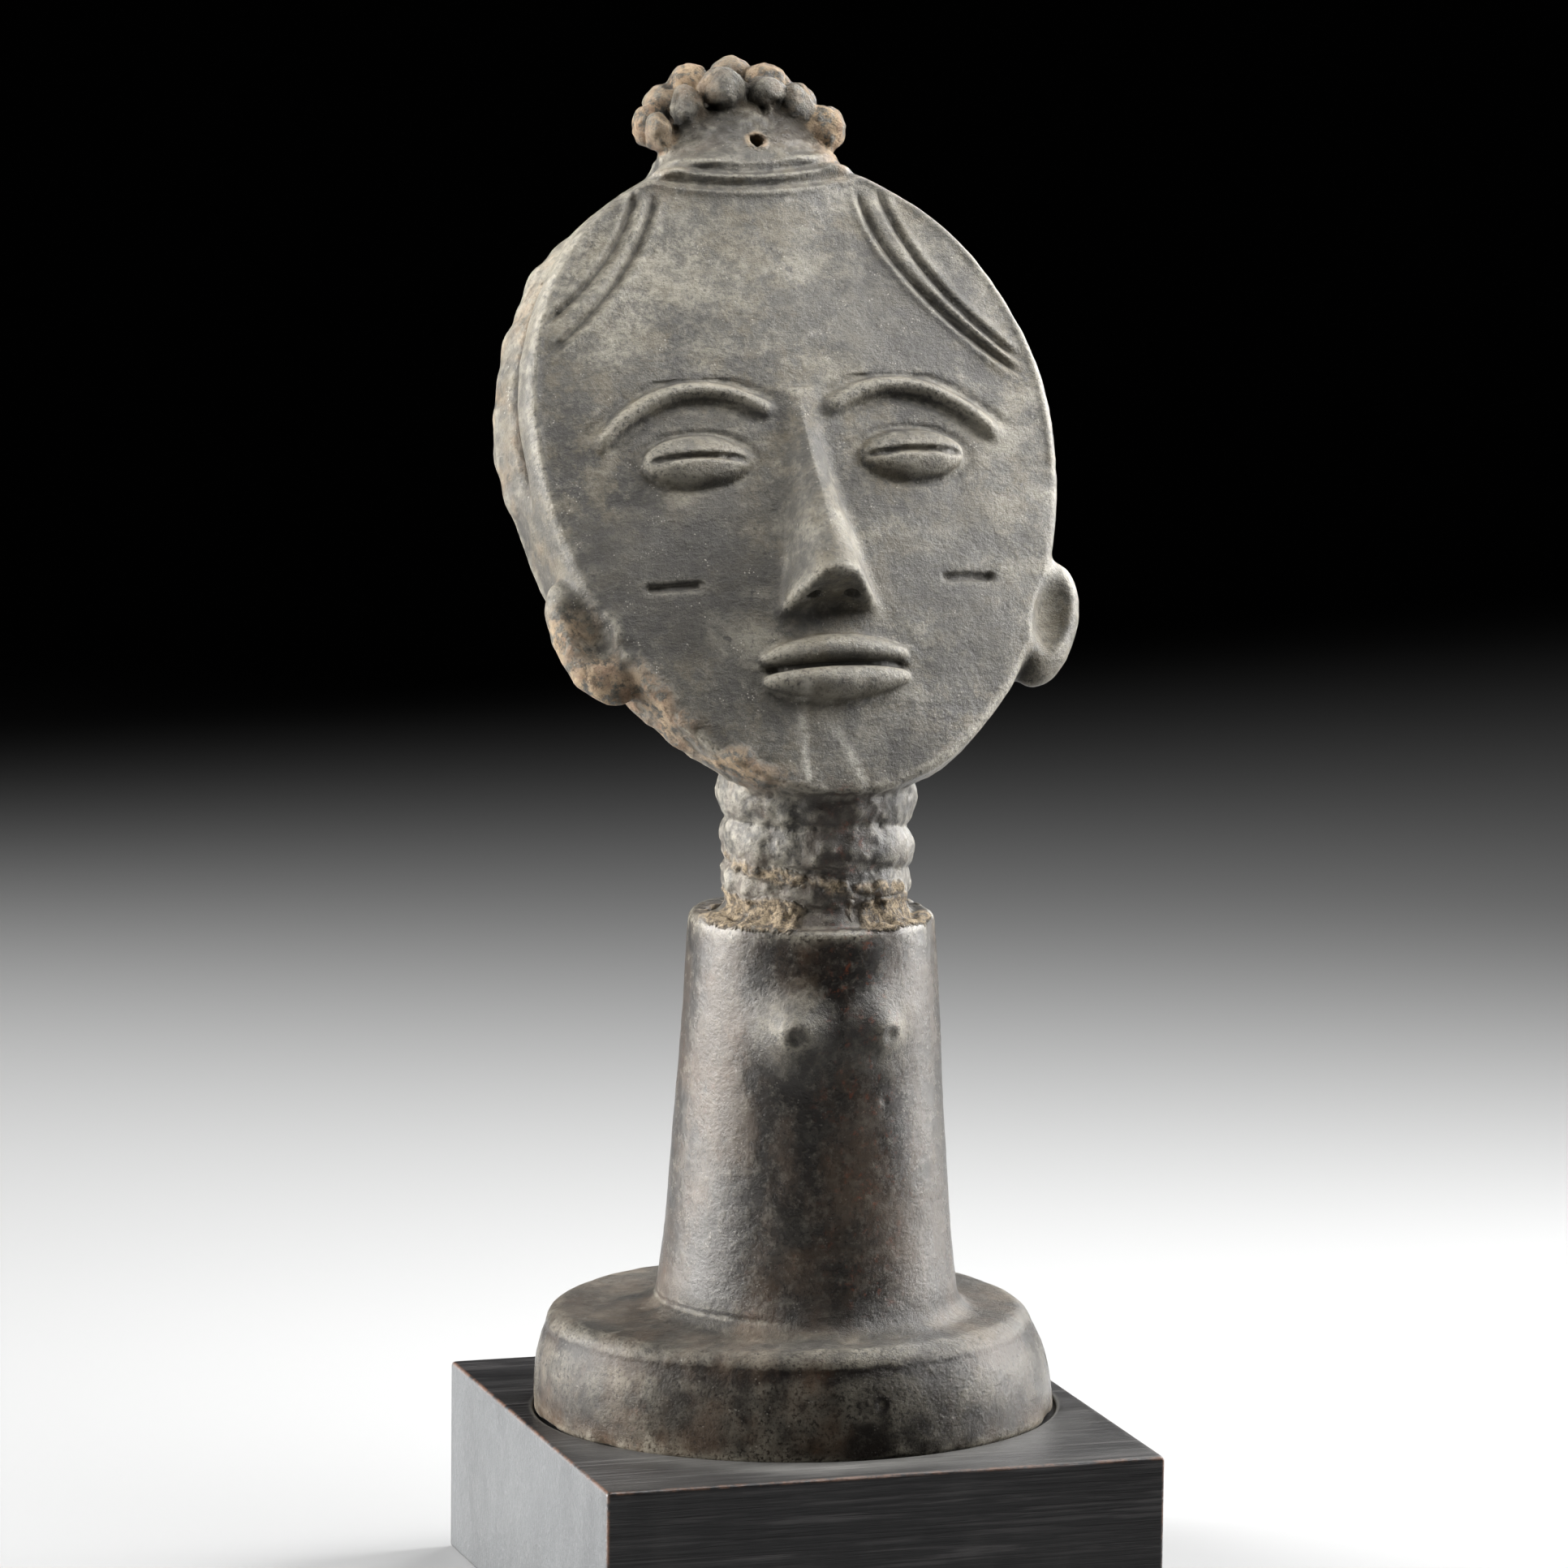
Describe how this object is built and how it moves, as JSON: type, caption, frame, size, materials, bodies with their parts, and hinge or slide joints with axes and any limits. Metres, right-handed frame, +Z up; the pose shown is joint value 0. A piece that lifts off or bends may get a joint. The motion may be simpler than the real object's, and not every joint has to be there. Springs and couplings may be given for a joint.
{
  "type": "terracotta memorial head",
  "caption": "Burnished clay memorial head: flat leaning disc face, ringed neck and columnar torso on a round foot, set in a recessed square wooden plinth.",
  "frame": {"origin": "middle of the square plinth's underside, on the surface that it stands on", "axes": "+Z up; the face looks along -Y and leans back towards +Y; +X is to the viewer's right when facing the figure"},
  "size_m": [0.1212, 0.132, 0.3209],
  "materials": {
    "fired_clay": "burnished dark grey-brown low-fired clay, worn tan on the pellets and edges",
    "ebonised_wood": "black-stained wood with a satin top and worn reddish edges"
  },
  "bodies": {
    "root": {"memorial_head": "fired_clay", "plinth": "ebonised_wood"}
  },
  "joints": []
}
